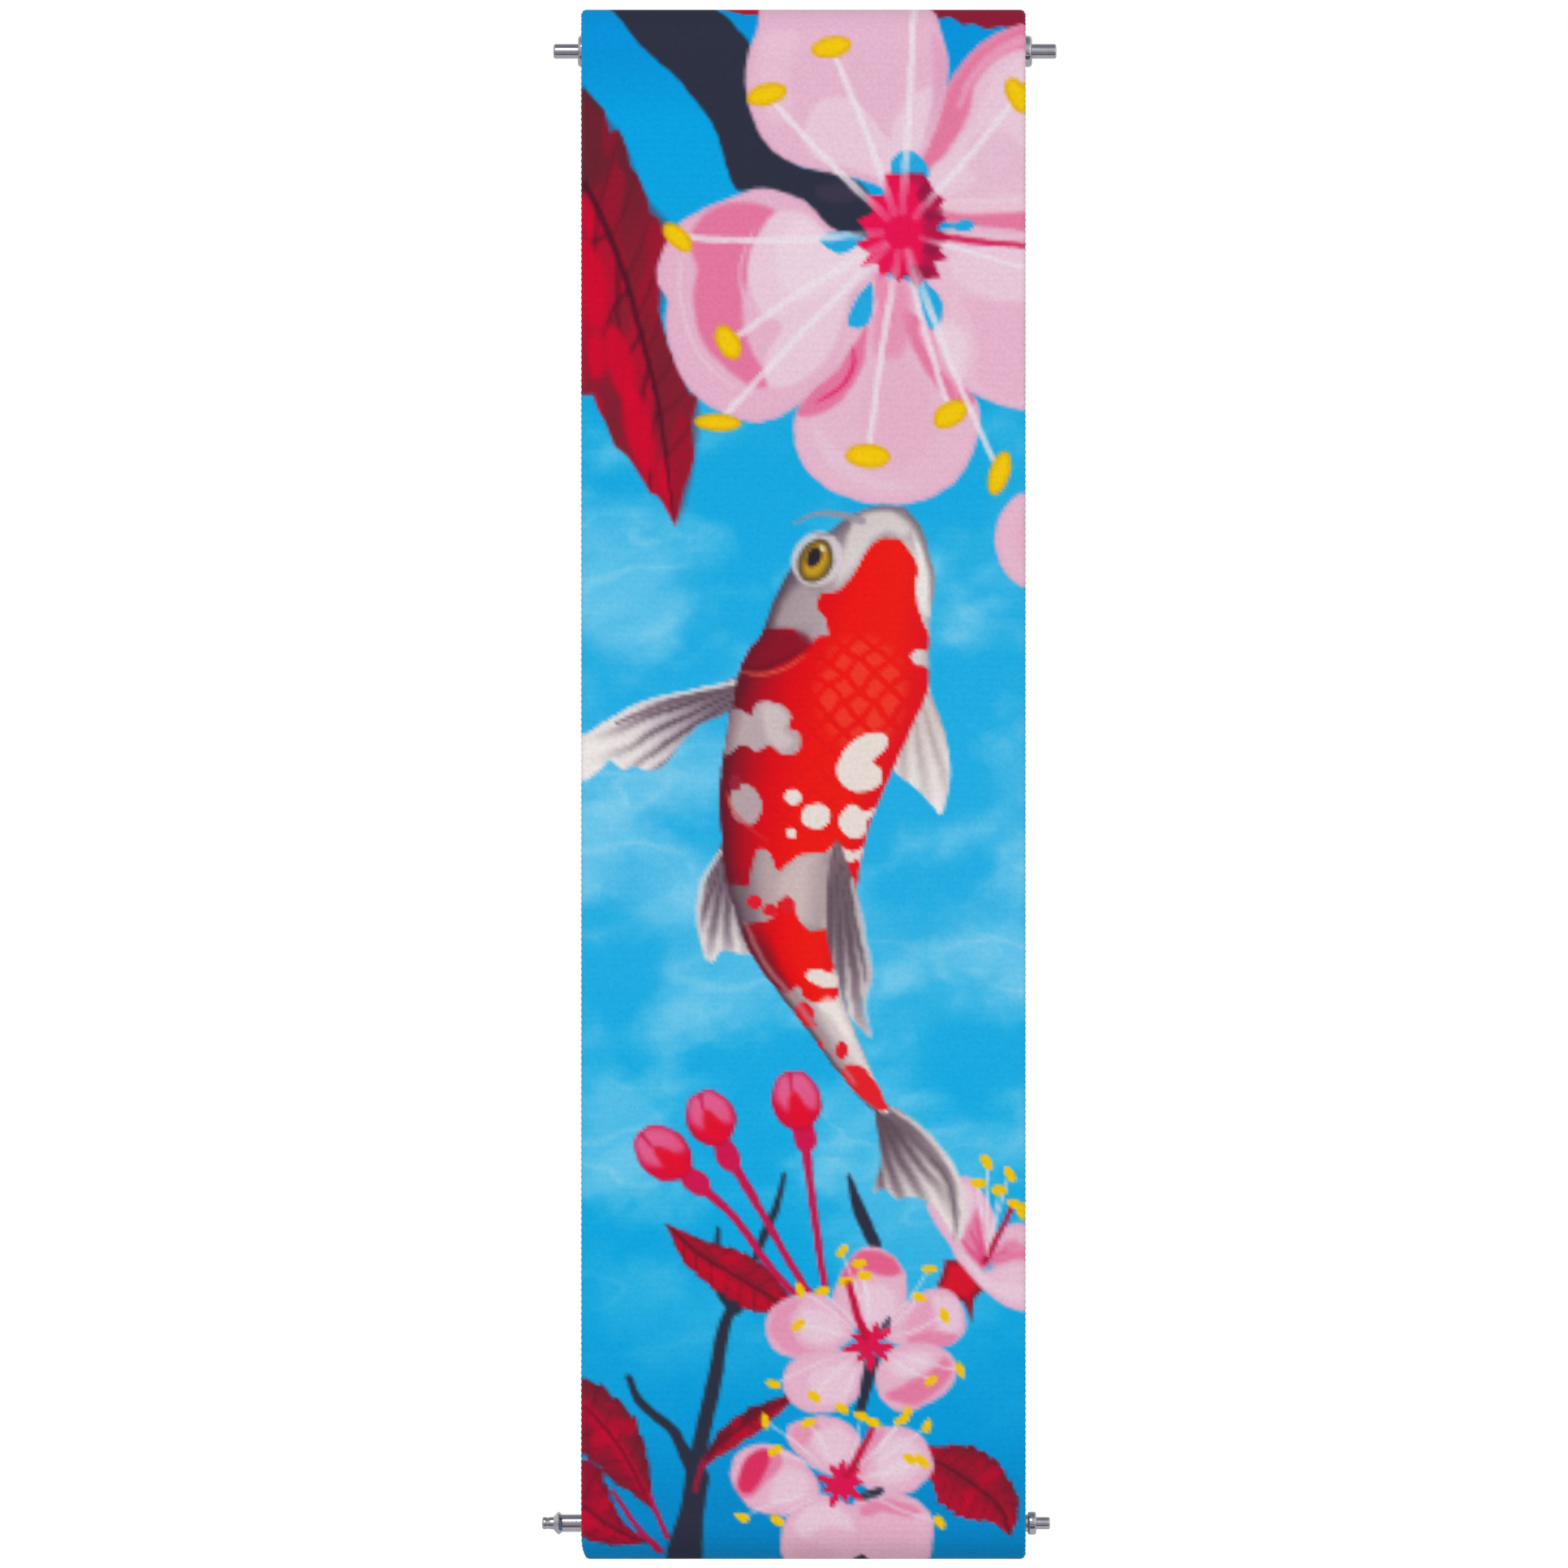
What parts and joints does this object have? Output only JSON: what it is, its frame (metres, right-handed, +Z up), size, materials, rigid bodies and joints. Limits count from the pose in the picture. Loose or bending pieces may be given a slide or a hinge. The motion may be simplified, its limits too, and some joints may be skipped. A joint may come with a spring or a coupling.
{
  "type": "elastic webbing strap with spring bars",
  "caption": "Flat elastic webbing strap printed with a koi and cherry blossom, folded into a pocket at each end round a sprung watch-style bar.",
  "frame": {"origin": "middle of the strap on the axis of the upper spring bar", "axes": "+X along the bars to the right of someone who looks at the print, -Y out of the printed face, +Z up the strap"},
  "size_m": [0.0294, 0.0048, 0.0887],
  "materials": {
    "webbing": "dye-printed fine elastic weave, matte",
    "bond_film": "translucent hot-melt film",
    "bar_steel": "polished stainless steel",
    "spring_wire": "drawn spring wire"
  },
  "bodies": {
    "upper_bar": {"upper_bar_tube": "bar_steel", "upper_bar_spring": "spring_wire"},
    "upper_left_tip": {"upper_left_pin": "bar_steel"},
    "upper_right_tip": {"upper_right_pin": "bar_steel"},
    "webbing": {"strap_webbing": "webbing", "upper_bond_film": "bond_film"},
    "lower_end": {"lower_bond_film": "bond_film"},
    "lower_bar": {"lower_bar_tube": "bar_steel", "lower_bar_spring": "spring_wire"},
    "lower_left_tip": {"lower_left_pin": "bar_steel"},
    "lower_right_tip": {"lower_right_pin": "bar_steel"}
  },
  "joints": [
    {"name": "upper_left_press", "type": "slide", "parent": "upper_bar", "child": "upper_left_tip", "axis": [1, 0, 0], "range_m": [0, 0.0012], "stiffness_N_per_m": 1000, "deforming": ["upper_bar_spring"]},
    {"name": "upper_right_press", "type": "slide", "parent": "upper_bar", "child": "upper_right_tip", "axis": [-1, 0, 0], "range_m": [0, 0.0012], "stiffness_N_per_m": 1000, "deforming": ["upper_bar_spring"]},
    {"name": "webbing_swing", "type": "hinge", "parent": "upper_bar", "child": "webbing", "pos_m": [0, 0, 0], "axis": [1, 0, 0], "continuous": true},
    {"name": "stretch", "type": "slide", "parent": "webbing", "child": "lower_end", "axis": [0, 0, -1], "range_m": [0, 0.021], "stiffness_N_per_m": 350, "deforming": ["strap_webbing"]},
    {"name": "lower_bar_turn", "type": "hinge", "parent": "lower_end", "child": "lower_bar", "pos_m": [0, -0.00033, -0.0843], "axis": [1, 0, 0], "continuous": true},
    {"name": "lower_left_press", "type": "slide", "parent": "lower_bar", "child": "lower_left_tip", "axis": [1, 0, 0], "range_m": [0, 0.0012], "stiffness_N_per_m": 1000, "deforming": ["lower_bar_spring"]},
    {"name": "lower_right_press", "type": "slide", "parent": "lower_bar", "child": "lower_right_tip", "axis": [-1, 0, 0], "range_m": [0, 0.0012], "stiffness_N_per_m": 1000, "deforming": ["lower_bar_spring"]}
  ]
}
